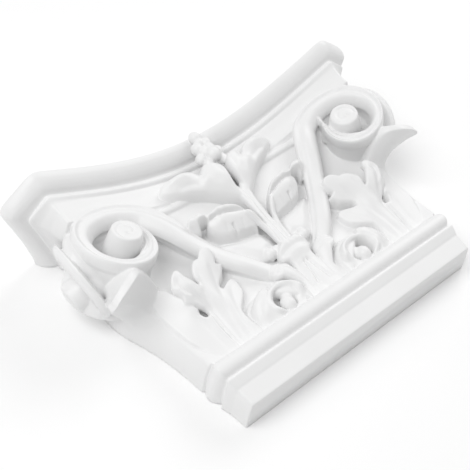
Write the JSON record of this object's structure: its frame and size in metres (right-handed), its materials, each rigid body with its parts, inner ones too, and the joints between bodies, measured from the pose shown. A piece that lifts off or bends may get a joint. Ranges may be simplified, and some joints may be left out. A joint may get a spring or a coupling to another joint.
{
  "type": "pilaster capital",
  "caption": "Moulded pilaster capital with corner volutes, acanthus leaves and a curved abacus over a straight base moulding, flat at the back.",
  "frame": {"origin": "middle of the flat back, halfway up the capital", "axes": "+X across the front, +Y up the pilaster in use, +Z out of the wall"},
  "size_m": [0.3032, 0.186, 0.0791],
  "materials": {
    "moulding": "smooth white primed moulding, satin"
  },
  "bodies": {
    "root": {"pilaster_capital": "moulding"}
  },
  "joints": []
}
